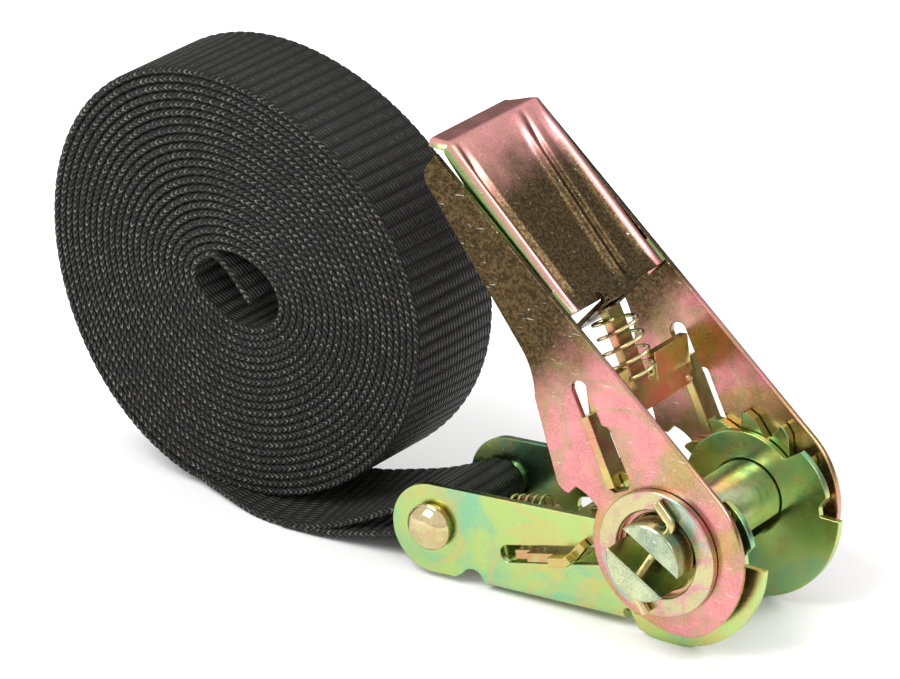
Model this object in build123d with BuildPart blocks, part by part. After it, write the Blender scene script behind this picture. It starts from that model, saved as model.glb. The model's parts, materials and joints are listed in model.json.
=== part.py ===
"""Ratchet strap for 25 mm webbing: stamped steel ratchet, two pawls, slotted mandrel and a roll of strap.

Millimetres. The origin is the middle of the mandrel's axis, which runs along Y. +X is the nose of
the frame, -X is the strap's side, +Z is up, and the frame's lobes and the strap stand on one floor.
"""

from build123d import *
from math import atan2, cos, degrees, pi, radians, sin
import os

os.makedirs("parts", exist_ok=True)

# ------------------------------------------------------------------ driving dimensions
WEBBING_WIDTH = 25.0
WEBBING_THICKNESS = 1.5
WEBBING_SIDE_GAP = 1.5          # webbing edge to frame plate
MOVING_GAP = 0.3                # between plates that turn past each other
PIN_GAP = 0.3                   # radial, mandrel in its holes

FRAME_THICKNESS = 1.5
FRAME_TILT = 1.8                # degrees, the frame stands on its lobes and its web's rear edge
FRAME_TAIL = 57.8               # mandrel axis to the middle of the rounded tail
TAIL_RADIUS = 10.2
TAIL_DROP = 9.4
LOBE_RADIUS = 21.9
LOCK_CAM_RADIUS = 18.6
ARCH_RADIUS = 13.7
ARCH_SHIFT = 1.2
WEB_DROP = 19.4
WEB_FRONT = 11.8
WEB_REAR = 46.2
BEND_RADIUS = 2.2               # outside radius of a folded corner

RIVET_RADIUS = 3.0
RIVET_DROP = 8.1
RIVET_HEAD_RADIUS = 5.2
RIVET_HEAD_HEIGHT = 3.0
RIVET_COLLAR_RADIUS = 4.4
RIVET_COLLAR_THICKNESS = 1.0
SLEEVE_RADIUS = 3.7

MANDREL_RADIUS = 8.0
MANDREL_SLOT = 5.1
MANDREL_ANGLE = -31.0           # degrees, the slot's direction at rest
MANDREL_REACH_UPPER = 26.4      # near end of the upper half
MANDREL_REACH_LOWER = 27.8
MANDREL_LENGTH = 53.0
COTTER_RADIUS = 1.0
COTTER_OFFSET = 1.4             # washer face to pin axis
COTTER_BEND = 5.6               # reach of the turned ends

GEAR_THICKNESS = 2.1
GEAR_TEETH = 12
GEAR_TIP_RADIUS = 17.5
GEAR_ROOT_RADIUS = 13.0
WASHER_RADIUS = 13.5
WASHER_BORE = 9.35
WASHER_THICKNESS = 1.8
WASHER_GAP = 0.25

HANDLE_THICKNESS = 1.5
HANDLE_ANGLE = 138.6            # degrees, direction of the handle's back edge at rest
HANDLE_LENGTH = 90.0
HANDLE_BACK = 19.1              # back edge to mandrel axis
HANDLE_CAM_RADIUS = 16.1
GRIP_START = 47.3
GRIP_RISE = 2.4                 # how far the grip stands above the back edge at its free end
GRIP_SLIT = 0.55
GRIP_FLANGE = 3.4
LIP_LENGTH = 4.6
TAB_WIDTH = 12.6
TAB_LENGTH = 10.4

PAWL_ANGLE = 115.3              # degrees, direction in which the drive pawl slides
PAWL_OFFSET = 5.2               # mid-plane of the drive pawl to the mandrel axis
PAWL_THICKNESS = 1.9
PAWL_TIP = 14.7                 # leg tips along the slide direction
PAWL_BODY_LOW = 25.4
PAWL_BODY_HIGH = 30.6
PAWL_TONGUE_WIDTH = 5.0
PAWL_TONGUE_TOP = 47.0
WING_WIDTH = 12.7
WING_LENGTH = 6.2
WING_ANGLE = 17.0

LOCK_ANGLE = 12.7               # degrees, direction in which the lock pawl slides
LOCK_THICKNESS = 1.9
DRIVE_SPRING_RADIUS = 4.5
DRIVE_SPRING_WIRE = 0.8
DRIVE_SPRING_TURNS = 5
LOCK_SPRING_RADIUS = 3.6
LOCK_SPRING_WIRE = 0.7
LOCK_SPRING_TURNS = 5

ROLL_CENTRE = (-114.3, 5.7, 27.8)
ROLL_YAW = 4.3
ROLL_TILT = 2.5
ROLL_RADIUS_X = 49.2
ROLL_RADIUS_Z = 48.0
ROLL_EYE = (9.0, 17.0)

# ------------------------------------------------------------------ the stack across the width
FRAME_INNER = WEBBING_WIDTH / 2 + WEBBING_SIDE_GAP
FRAME_OUTER = FRAME_INNER + FRAME_THICKNESS
GEAR_INNER = FRAME_OUTER + MOVING_GAP
GEAR_OUTER = GEAR_INNER + GEAR_THICKNESS
HANDLE_INNER = GEAR_OUTER + MOVING_GAP
HANDLE_OUTER = HANDLE_INNER + HANDLE_THICKNESS
WASHER_INNER = HANDLE_OUTER + WASHER_GAP
WASHER_OUTER = WASHER_INNER + WASHER_THICKNESS
BORE_RADIUS = MANDREL_RADIUS + PIN_GAP


def side_plane(y, angle=0.0):
    """A plane across the width at y, its x axis turned up by angle from +X, seen from the near side."""
    turn = radians(angle)
    return Plane(origin=(0, y, 0), x_dir=(cos(turn), 0, sin(turn)), z_dir=(0, -1, 0))


def polar(radius, angle):
    """A point at a radius and an angle in degrees."""
    return radius * cos(radians(angle)), radius * sin(radians(angle))


def save(part, label):
    """Labels a finished piece and writes it."""
    part.label = label
    export_step(part, f"parts/{label}.step")


# ------------------------------------------------------------------ base frame
TAIL_CENTRE = (-FRAME_TAIL, -TAIL_DROP)
RIVET_PLACE = (-FRAME_TAIL - 0.5, -RIVET_DROP)
ARCH_CENTRE = (-ARCH_SHIFT, 0.2)
LOCK_LOCAL = LOCK_ANGLE - FRAME_TILT


def frame_point(p, q):
    """A point of the tilted frame's side view in X and Z."""
    turn = radians(FRAME_TILT)
    return p * cos(turn) - q * sin(turn), p * sin(turn) + q * cos(turn)


def frame_outline():
    """The outline of one frame plate, inside a BuildLine block on the frame's own plane."""
    arch_rear = (ARCH_CENTRE[0] - ARCH_RADIUS * cos(radians(15)), ARCH_CENTRE[1] + ARCH_RADIUS * sin(radians(15)))
    arch_top = (ARCH_CENTRE[0], ARCH_CENTRE[1] + ARCH_RADIUS)
    arch_front = (ARCH_CENTRE[0] + ARCH_RADIUS * cos(radians(44)), ARCH_CENTRE[1] + ARCH_RADIUS * sin(radians(44)))
    tooth = polar(LOCK_CAM_RADIUS - 1.0, 43.5)
    cam_mid = polar(LOCK_CAM_RADIUS, 27)
    cam_end = polar(LOCK_CAM_RADIUS + 0.5, 9.5)
    notch_top = polar(LOCK_CAM_RADIUS - 1.5, 3.0)
    notch_low = polar(LOCK_CAM_RADIUS - 1.3, -3.8)
    nose = polar(LOBE_RADIUS - 0.1, -3.8)
    lobe_end = polar(LOBE_RADIUS, -111.5)
    web_q = -WEB_DROP + BEND_RADIUS
    tail_low = (TAIL_CENTRE[0] - 1.5, TAIL_CENTRE[1] - TAIL_RADIUS + 0.9)
    Line((-FRAME_TAIL, TAIL_CENTRE[1] + TAIL_RADIUS), (arch_rear[0] - 3.0, 1.7))
    Line((arch_rear[0] - 3.0, 1.7), arch_rear)
    ThreePointArc(arch_rear, arch_top, arch_front)
    Line(arch_front, tooth)
    ThreePointArc(tooth, cam_mid, cam_end)
    Line(cam_end, notch_top)
    Line(notch_top, notch_low)
    Line(notch_low, nose)
    ThreePointArc(nose, polar(LOBE_RADIUS, -50), lobe_end)
    Line(lobe_end, (-WEB_FRONT + 2.0, web_q - 0.2))
    ThreePointArc(
        (-WEB_FRONT + 2.0, web_q - 0.2), (-WEB_FRONT + 1.0, web_q + 0.8), (-WEB_FRONT, web_q - 0.2)
    )
    Line((-WEB_FRONT, web_q - 0.2), (-WEB_REAR, web_q - 0.2))
    ThreePointArc(
        (-WEB_REAR, web_q - 0.2), (-WEB_REAR - 2.4, web_q + 1.2), (-WEB_REAR - 4.8, web_q - 0.2)
    )
    Line((-WEB_REAR - 4.8, web_q - 0.2), (-WEB_REAR - 6.6, web_q - 1.4))
    Line((-WEB_REAR - 6.6, web_q - 1.4), tail_low)
    ThreePointArc(
        tail_low,
        (TAIL_CENTRE[0] - TAIL_RADIUS * cos(radians(15)), TAIL_CENTRE[1] - TAIL_RADIUS * sin(radians(15))),
        (-FRAME_TAIL, TAIL_CENTRE[1] + TAIL_RADIUS),
    )


LOCK_SLOT_START = (-39.6, -10.6)
LOCK_SLOT_LENGTH = 27.0
LOCK_SLOT_HEIGHT = 3.9


def lock_line(along, above=0.0):
    """A point on the lock pawl's slide line, counted from the slot's rear arc, in frame coordinates."""
    turn = radians(LOCK_LOCAL)
    return (
        LOCK_SLOT_START[0] + along * cos(turn) - above * sin(turn),
        LOCK_SLOT_START[1] + along * sin(turn) + above * cos(turn),
    )


SEAT_ALONG = -9.1               # middle of the rear spring seat, along the slide line
SEAT_TOP = 4.7                  # top of the seat's two prongs, above the slide line
SEAT_WIDTH = 9.0
SEAT_RISE = 3.6                 # tail and spring above the lock pawl's plane
TAIL_WIDTH = 5.0
TAIL_GAP = 0.7                  # around the tail in the seat's notch

with BuildPart() as base_frame:
    with BuildSketch(side_plane(-FRAME_INNER, FRAME_TILT)):
        with BuildLine():
            frame_outline()
        make_face()
        with Locations((0, 0)):
            Circle(BORE_RADIUS, mode=Mode.SUBTRACT)
        with Locations(RIVET_PLACE):
            Circle(RIVET_RADIUS, mode=Mode.SUBTRACT)
        with Locations(Location((*lock_line(LOCK_SLOT_LENGTH / 2 - LOCK_SLOT_HEIGHT / 2), 0), (0, 0, LOCK_LOCAL))):
            SlotOverall(LOCK_SLOT_LENGTH, LOCK_SLOT_HEIGHT, mode=Mode.SUBTRACT)
    extrude(amount=FRAME_THICKNESS)
    mirror(about=Plane.XZ)
    # the web and its two rounded folds, drawn across the width and carried along the frame
    with BuildSketch(
        Plane(
            origin=(*[frame_point(-WEB_REAR, 0)[0]], 0, frame_point(-WEB_REAR, 0)[1]),
            x_dir=(0, 1, 0),
            z_dir=(cos(radians(FRAME_TILT)), 0, sin(radians(FRAME_TILT))),
        )
    ):
        with BuildLine():
            low = -WEB_DROP
            fold = low + BEND_RADIUS
            half = FRAME_OUTER - BEND_RADIUS
            inner = BEND_RADIUS - FRAME_THICKNESS
            Line((FRAME_OUTER, fold), (FRAME_INNER, fold))
            ThreePointArc(
                (FRAME_INNER, fold),
                (half + inner * cos(pi / 4), fold - inner * sin(pi / 4)),
                (half, fold - inner),
            )
            Line((half, fold - inner), (-half, fold - inner))
            ThreePointArc(
                (-half, fold - inner),
                (-half - inner * cos(pi / 4), fold - inner * sin(pi / 4)),
                (-FRAME_INNER, fold),
            )
            Line((-FRAME_INNER, fold), (-FRAME_OUTER, fold))
            ThreePointArc(
                (-FRAME_OUTER, fold),
                (-half - BEND_RADIUS * cos(pi / 4), fold - BEND_RADIUS * sin(pi / 4)),
                (-half, low),
            )
            Line((-half, low), (half, low))
            ThreePointArc(
                (half, low),
                (half + BEND_RADIUS * cos(pi / 4), fold - BEND_RADIUS * sin(pi / 4)),
                (FRAME_OUTER, fold),
            )
        make_face()
    extrude(amount=WEB_REAR - WEB_FRONT)
    # the spring seat, a tongue of the web folded up square to the lock pawl's travel
    seat_half = FRAME_THICKNESS / 2
    seat_low = (-WEB_DROP - LOCK_SLOT_START[1] - SEAT_ALONG * sin(radians(LOCK_LOCAL))) / cos(radians(LOCK_LOCAL))
    with BuildSketch(side_plane(-SEAT_WIDTH / 2, FRAME_TILT)):
        with BuildLine():
            Polyline(
                (-WEB_REAR, -WEB_DROP),
                (-WEB_REAR, -WEB_DROP + FRAME_THICKNESS),
                lock_line(SEAT_ALONG + seat_half, seat_low + FRAME_THICKNESS * 1.2),
                lock_line(SEAT_ALONG + seat_half, SEAT_TOP),
                lock_line(SEAT_ALONG - seat_half, SEAT_TOP),
                lock_line(SEAT_ALONG - seat_half, seat_low + FRAME_THICKNESS * 0.5),
                lock_line(SEAT_ALONG + seat_half * 0.4, seat_low),
                close=True,
            )
        make_face()
    extrude(amount=-SEAT_WIDTH)
    # the notch in the seat that the lock pawl's tail runs through
    with BuildSketch(side_plane(-TAIL_WIDTH / 2 - TAIL_GAP, FRAME_TILT)):
        with Locations(Location((*lock_line(SEAT_ALONG, SEAT_RISE), 0), (0, 0, LOCK_LOCAL))):
            Rectangle(FRAME_THICKNESS * 3, LOCK_THICKNESS + 2 * TAIL_GAP)
    extrude(amount=-TAIL_WIDTH - 2 * TAIL_GAP, mode=Mode.SUBTRACT)
save(base_frame.part, "base_frame")

# ------------------------------------------------------------------ anchor rivet
RIVET_X, RIVET_Z = frame_point(*RIVET_PLACE)


def rivet_plane(y):
    """A plane across the width at y with its origin on the rivet's axis."""
    return Plane(origin=(RIVET_X, y, RIVET_Z), x_dir=(1, 0, 0), z_dir=(0, -1, 0))


COLLAR_OUTER = FRAME_OUTER + RIVET_COLLAR_THICKNESS

with BuildPart() as anchor_rivet:
    with BuildSketch(rivet_plane(0)):
        Circle(RIVET_RADIUS)
    extrude(amount=COLLAR_OUTER, both=True)
    # the domed head: an arc with a small flat, turned round the rivet's axis
    with BuildSketch(Plane(origin=(RIVET_X, 0, RIVET_Z), x_dir=(1, 0, 0), z_dir=(0, 0, 1))):
        with BuildLine():
            face = -(COLLAR_OUTER + RIVET_HEAD_HEIGHT)
            Line((0, -COLLAR_OUTER), (RIVET_HEAD_RADIUS - 0.3, -COLLAR_OUTER))
            ThreePointArc(
                (RIVET_HEAD_RADIUS - 0.3, -COLLAR_OUTER),
                (RIVET_HEAD_RADIUS - 0.05, -COLLAR_OUTER - 0.45),
                (RIVET_HEAD_RADIUS - 0.35, -COLLAR_OUTER - 0.95),
            )
            ThreePointArc(
                (RIVET_HEAD_RADIUS - 0.35, -COLLAR_OUTER - 0.95),
                (RIVET_HEAD_RADIUS * 0.66, -COLLAR_OUTER - RIVET_HEAD_HEIGHT * 0.8),
                (RIVET_HEAD_RADIUS * 0.34, face),
            )
            Line((RIVET_HEAD_RADIUS * 0.34, face), (0, face))
            Line((0, face), (0, -COLLAR_OUTER))
        make_face()
    revolve(axis=Axis((RIVET_X, 0, RIVET_Z), (0, 1, 0)))
    mirror(about=Plane.XZ)
save(anchor_rivet.part, "anchor_rivet")

for side, sign in (("near", -1), ("far", 1)):
    with BuildPart() as anchor_collar:
        with BuildSketch(rivet_plane(sign * FRAME_OUTER)):
            Circle(RIVET_COLLAR_RADIUS)
            Circle(RIVET_RADIUS, mode=Mode.SUBTRACT)
        extrude(amount=-sign * RIVET_COLLAR_THICKNESS)
    save(anchor_collar.part, f"anchor_collar_{side}")

with BuildPart() as anchor_sleeve:
    with BuildSketch(rivet_plane(0)):
        Circle(SLEEVE_RADIUS)
        Circle(RIVET_RADIUS, mode=Mode.SUBTRACT)
    extrude(amount=FRAME_INNER, both=True)
save(anchor_sleeve.part, "anchor_sleeve")

# ------------------------------------------------------------------ mandrel, gears, washers, cotters
SLOT_NORMAL = MANDREL_ANGLE + 90
COTTER_Y = WASHER_OUTER + COTTER_OFFSET

for name, normal, near_end in (
    ("upper", SLOT_NORMAL, MANDREL_REACH_UPPER),
    ("lower", SLOT_NORMAL + 180, MANDREL_REACH_LOWER),
):
    with BuildPart() as mandrel_half:
        with BuildSketch(side_plane(-near_end, normal)):
            Circle(MANDREL_RADIUS)
            with Locations((MANDREL_SLOT / 2 - MANDREL_RADIUS, 0)):
                Rectangle(2 * MANDREL_RADIUS, 2.2 * MANDREL_RADIUS, mode=Mode.SUBTRACT)
        extrude(amount=-MANDREL_LENGTH)
        ends = mandrel_half.faces().sort_by(Axis.Y)
        chamfer((ends[0] + ends[-1]).edges(), length=0.35)
        for y in (-COTTER_Y, COTTER_Y):
            with Locations(Location((0, y, 0), (0, -normal, 0))):
                with Locations(Location((0, 0, 0), (0, 90, 0))):
                    Cylinder(COTTER_RADIUS, 3 * MANDREL_RADIUS, mode=Mode.SUBTRACT)
    save(mandrel_half.part, f"mandrel_half_{name}")

TOOTH_PITCH = 360 / GEAR_TEETH
PAWL_FACE = PAWL_OFFSET - PAWL_THICKNESS / 2 - 0.2      # where the drive pawl bears on a tooth


def face_angle(radius):
    """World angle of the bearing face, a line beside the drive pawl's leg, at a radius."""
    return PAWL_ANGLE + degrees(atan2(PAWL_FACE, (radius**2 - PAWL_FACE**2) ** 0.5))


for side, sign in (("near", -1), ("far", 1)):
    with BuildPart() as gear:
        with BuildSketch(side_plane(sign * GEAR_INNER)):
            teeth = []
            for k in range(GEAR_TEETH):
                turn = k * TOOTH_PITCH
                root = face_angle(GEAR_ROOT_RADIUS) + turn
                tip = face_angle(GEAR_TIP_RADIUS) + turn
                teeth.append(polar(GEAR_TIP_RADIUS, tip))
                teeth.append(polar(GEAR_ROOT_RADIUS, root))
                teeth.append(polar(GEAR_ROOT_RADIUS, root + 3.5))
                teeth.append(polar(GEAR_TIP_RADIUS - 1.1, tip + TOOTH_PITCH - 9.0))
                teeth.append(polar(GEAR_TIP_RADIUS, tip + TOOTH_PITCH - 2.5))
            with BuildLine():
                Polyline(*teeth, close=True)
            make_face()
            # two half-moon openings leave a key bar between the mandrel halves
            Circle(MANDREL_RADIUS, mode=Mode.SUBTRACT)
        extrude(amount=-sign * GEAR_THICKNESS)
        with BuildSketch(side_plane(sign * GEAR_INNER, MANDREL_ANGLE)):
            Rectangle(2 * MANDREL_RADIUS + 1.0, MANDREL_SLOT)
            Circle(1.9, mode=Mode.SUBTRACT)
        extrude(amount=-sign * GEAR_THICKNESS)
    save(gear.part, f"gear_{side}")
    with BuildPart() as washer:
        with BuildSketch(side_plane(sign * WASHER_INNER)):
            Circle(WASHER_RADIUS)
            Circle(WASHER_BORE, mode=Mode.SUBTRACT)
        extrude(amount=-sign * WASHER_THICKNESS)
        fillet(washer.edges().filter_by(GeomType.CIRCLE).group_by(Axis.Y)[0 if sign < 0 else -1], radius=0.45)
    save(washer.part, f"retaining_washer_{side}")
    # a pin through both halves, its two ends turned over the washer
    with BuildPart() as cotter:
        hook = MANDREL_RADIUS + 0.6
        with BuildLine(side_plane(sign * COTTER_Y, SLOT_NORMAL)) as cotter_path:
            Line((-hook - 2.8, -COTTER_BEND), (-hook - 1.2, -1.9))
            ThreePointArc((-hook - 1.2, -1.9), (-hook - 0.8, -0.75), (-hook + 0.4, 0))
            Line((-hook + 0.4, 0), (hook - 0.4, 0))
            ThreePointArc((hook - 0.4, 0), (hook + 0.8, 0.75), (hook + 1.2, 1.9))
            Line((hook + 1.2, 1.9), (hook + 2.2, COTTER_BEND))
        with BuildSketch(Plane(origin=cotter_path.line @ 0, z_dir=cotter_path.line % 0)):
            Circle(COTTER_RADIUS)
        sweep()
    save(cotter.part, f"cotter_{side}")

# ------------------------------------------------------------------ handle
SLOT_TOP = 38.0
SLOT_STEP = 27.4
SLOT_BOTTOM = 13.9
SLOT_LEFT = PAWL_OFFSET + PAWL_THICKNESS / 2 + 0.45
SLOT_NARROW = 3.8
SLOT_WIDE = 5.4


def handle_outline():
    """The outline of one handle plate, inside a BuildLine block: x along the back edge, y towards the front."""
    cam_front = polar(HANDLE_CAM_RADIUS, 20.4)
    cam_low = polar(HANDLE_CAM_RADIUS, 117.4)
    cam_rise = polar((HANDLE_CAM_RADIUS + HANDLE_BACK) / 2 - 0.1, 138)
    cam_back = polar(HANDLE_BACK, 158.4)
    Line((0, -HANDLE_BACK), (HANDLE_LENGTH - 0.4, -HANDLE_BACK))
    Line((HANDLE_LENGTH - 0.4, -HANDLE_BACK), (HANDLE_LENGTH - 0.5, -16.6))
    ThreePointArc((HANDLE_LENGTH - 0.5, -16.6), (HANDLE_LENGTH - 1.5, -13.9), (HANDLE_LENGTH - 4.4, -12.6))
    Line((HANDLE_LENGTH - 4.4, -12.6), (48.5, -4.9))
    ThreePointArc((48.5, -4.9), (44.0, -2.9), (39.9, 0.6))
    Line((39.9, 0.6), (25.6, 9.0))
    ThreePointArc((25.6, 9.0), (23.4, 9.7), (21.2, 8.9))
    Line((21.2, 8.9), (21.4, 6.6))
    ThreePointArc((21.4, 6.6), (18.4, 5.6), cam_front)
    ThreePointArc(cam_front, polar(HANDLE_CAM_RADIUS, 69), cam_low)
    ThreePointArc(cam_low, cam_rise, cam_back)
    ThreePointArc(cam_back, polar(HANDLE_BACK, 214), (0, -HANDLE_BACK))


with BuildPart() as handle:
    with BuildSketch(side_plane(-HANDLE_INNER, HANDLE_ANGLE)):
        with BuildLine():
            handle_outline()
        make_face()
        Circle(BORE_RADIUS, mode=Mode.SUBTRACT)
    extrude(amount=HANDLE_THICKNESS)
    with BuildSketch(side_plane(-HANDLE_INNER, PAWL_ANGLE)):
        narrow_mid = SLOT_LEFT - SLOT_NARROW / 2
        wide_mid = SLOT_LEFT - SLOT_WIDE / 2
        with Locations(((SLOT_TOP + SLOT_BOTTOM) / 2, narrow_mid)):
            SlotOverall(SLOT_TOP - SLOT_BOTTOM, SLOT_NARROW)
        with Locations(((SLOT_STEP + SLOT_BOTTOM) / 2, wide_mid)):
            RectangleRounded(SLOT_STEP - SLOT_BOTTOM, SLOT_WIDE, 1.2)
    extrude(amount=HANDLE_THICKNESS, mode=Mode.SUBTRACT)
    mirror(about=Plane.XZ)
    # the grip: a web raised off the back edges, with its own narrow flanges inside the side plates
    grip_outer = HANDLE_INNER - GRIP_SLIT
    with BuildSketch(side_plane(-grip_outer, HANDLE_ANGLE)):
        with BuildLine():
            Polyline(
                (GRIP_START, -HANDLE_BACK - 0.2),
                (HANDLE_LENGTH, -HANDLE_BACK - GRIP_RISE),
                (HANDLE_LENGTH + LIP_LENGTH * 0.75, -HANDLE_BACK - GRIP_RISE + LIP_LENGTH * 0.62),
                (HANDLE_LENGTH + LIP_LENGTH * 0.75 - 1.0, -HANDLE_BACK - GRIP_RISE + LIP_LENGTH * 0.62 + 1.1),
                (HANDLE_LENGTH - 0.6, -HANDLE_BACK - GRIP_RISE + HANDLE_THICKNESS),
                (GRIP_START, -HANDLE_BACK - 0.2 + HANDLE_THICKNESS),
                close=True,
            )
        make_face()
    extrude(amount=-2 * grip_outer)
    for sign in (-1, 1):
        with BuildSketch(side_plane(sign * grip_outer, HANDLE_ANGLE)):
            with BuildLine():
                Polyline(
                    (GRIP_START, -HANDLE_BACK + GRIP_FLANGE - 0.2),
                    (GRIP_START, -HANDLE_BACK),
                    (HANDLE_LENGTH - 2.0, -HANDLE_BACK - GRIP_RISE + 0.4),
                    (HANDLE_LENGTH - 3.0, -HANDLE_BACK - GRIP_RISE + GRIP_FLANGE),
                    close=True,
                )
            make_face()
        extrude(amount=sign * HANDLE_THICKNESS)
        # the bridge that joins the grip to the side plate at the grip's lower end
        with BuildSketch(side_plane(sign * (HANDLE_INNER + 0.2), HANDLE_ANGLE)):
            with Locations((GRIP_START + 3.0, -HANDLE_BACK + 1.3)):
                Rectangle(6.0, 3.0)
        extrude(amount=sign * (GRIP_SLIT + HANDLE_THICKNESS))
    # the tongue of the web folded inwards as the drive spring's seat
    with BuildSketch(side_plane(-TAB_WIDTH / 2, HANDLE_ANGLE)):
        with Locations((GRIP_START - 0.9, -HANDLE_BACK + TAB_LENGTH / 2 + 0.6)):
            Rectangle(HANDLE_THICKNESS, TAB_LENGTH)
        with Locations((GRIP_START - 0.2, -HANDLE_BACK + 0.55)):
            Rectangle(HANDLE_THICKNESS + 1.4, HANDLE_THICKNESS)
    extrude(amount=-TAB_WIDTH)
    # the window in the seat that the drive pawl's tongue runs through
    with BuildSketch(side_plane(-PAWL_TONGUE_WIDTH / 2 - 0.5, PAWL_ANGLE)):
        with Locations((PAWL_TONGUE_TOP, PAWL_OFFSET)):
            Rectangle(16.0, PAWL_THICKNESS + 1.2)
    extrude(amount=-PAWL_TONGUE_WIDTH - 1.0, mode=Mode.SUBTRACT)
save(handle.part, "handle")

# ------------------------------------------------------------------ drive pawl
LEG_INNER = GEAR_INNER + 0.05
LEG_OUTER = GEAR_OUTER - 0.02
EAR_OUTER = HANDLE_OUTER + 1.1
PAWL_PLANE = Plane(
    origin=(
        -PAWL_OFFSET * sin(radians(PAWL_ANGLE)),
        0,
        PAWL_OFFSET * cos(radians(PAWL_ANGLE)),
    ),
    x_dir=(cos(radians(PAWL_ANGLE)), 0, sin(radians(PAWL_ANGLE))),
    z_dir=(sin(radians(PAWL_ANGLE)), 0, -cos(radians(PAWL_ANGLE))),
)

with BuildPart() as drive_pawl:
    with BuildSketch(PAWL_PLANE):
        body_mid = (PAWL_BODY_LOW + PAWL_BODY_HIGH) / 2
        with Locations((body_mid, 0)):
            Rectangle(PAWL_BODY_HIGH - PAWL_BODY_LOW, 2 * EAR_OUTER)
        with Locations(((PAWL_BODY_HIGH + PAWL_TONGUE_TOP) / 2, 0)):
            Rectangle(PAWL_TONGUE_TOP - PAWL_BODY_HIGH + 1.0, PAWL_TONGUE_WIDTH)
        for sign in (-1, 1):
            leg_mid = sign * (LEG_INNER + LEG_OUTER) / 2
            with Locations(((PAWL_TIP + PAWL_BODY_LOW) / 2, leg_mid)):
                Rectangle(PAWL_BODY_LOW - PAWL_TIP + 1.0, LEG_OUTER - LEG_INNER)
            with Locations(((PAWL_TIP + PAWL_BODY_LOW) / 2 + 0.5, sign * (LEG_OUTER + EAR_OUTER) / 2)):
                Rectangle(PAWL_BODY_LOW - PAWL_TIP + 0.2, EAR_OUTER - LEG_OUTER + 0.2)
    extrude(amount=PAWL_THICKNESS / 2, both=True)
    # finger wings, folded forward on both sides of the tongue
    wing_turn = radians(PAWL_ANGLE - WING_ANGLE)
    wing_plane = Plane(
        origin=PAWL_PLANE.from_local_coords((PAWL_BODY_HIGH - 1.0, 0, 0)),
        x_dir=(cos(wing_turn), 0, sin(wing_turn)),
        z_dir=(sin(wing_turn), 0, -cos(wing_turn)),
    )
    with BuildSketch(wing_plane):
        for sign in (-1, 1):
            with Locations((WING_LENGTH / 2, sign * (HANDLE_INNER - 0.4 - WING_WIDTH / 2))):
                Rectangle(WING_LENGTH, WING_WIDTH)
    extrude(amount=PAWL_THICKNESS / 2, both=True)
    # two pressed dimples just inside the handle plates
    for sign in (-1, 1):
        place = PAWL_PLANE.from_local_coords((PAWL_BODY_LOW + 1.2, sign * (LEG_INNER - 0.6), PAWL_THICKNESS / 2 - 0.2))
        with Locations(place):
            Sphere(0.9)
save(drive_pawl.part, "drive_pawl")

# ------------------------------------------------------------------ lock pawl
LOCK_SLOT_X, LOCK_SLOT_Z = frame_point(*LOCK_SLOT_START)
LOCK_OFFSET = -LOCK_SLOT_X * sin(radians(LOCK_ANGLE)) + LOCK_SLOT_Z * cos(radians(LOCK_ANGLE))
LOCK_REAR = LOCK_SLOT_X * cos(radians(LOCK_ANGLE)) + LOCK_SLOT_Z * sin(radians(LOCK_ANGLE))
LOCK_FLAT = Plane(
    origin=(LOCK_REAR * cos(radians(LOCK_ANGLE)) - LOCK_OFFSET * sin(radians(LOCK_ANGLE)), 0,
            LOCK_REAR * sin(radians(LOCK_ANGLE)) + LOCK_OFFSET * cos(radians(LOCK_ANGLE))),
    x_dir=(cos(radians(LOCK_ANGLE)), 0, sin(radians(LOCK_ANGLE))),
    z_dir=(-sin(radians(LOCK_ANGLE)), 0, cos(radians(LOCK_ANGLE))),
)
LOCK_BACK = 2.0                 # rear edge of the plate, from the slot's rear arc
LOCK_FRONT = 17.4               # where the plate folds up to its teeth
LOCK_EAR_OUTER = HANDLE_OUTER + 0.3
LOCK_EARS = ((LOCK_BACK, FRAME_OUTER + 0.1), (6.0, FRAME_OUTER + 2.0), (12.8, LOCK_EAR_OUTER))
LOCK_TIP_ANGLE = 41.0
LOCK_TIP_LENGTH = 4.6
LOCK_EAR_RISE = 1.1             # the same fold outside the gears, shorter to clear the handle's cam
LOCK_TAIL_LENGTH = 12.9
LOCK_LIP_WIDTH = 11.0
LOCK_LIP_HEIGHT = 7.0

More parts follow.
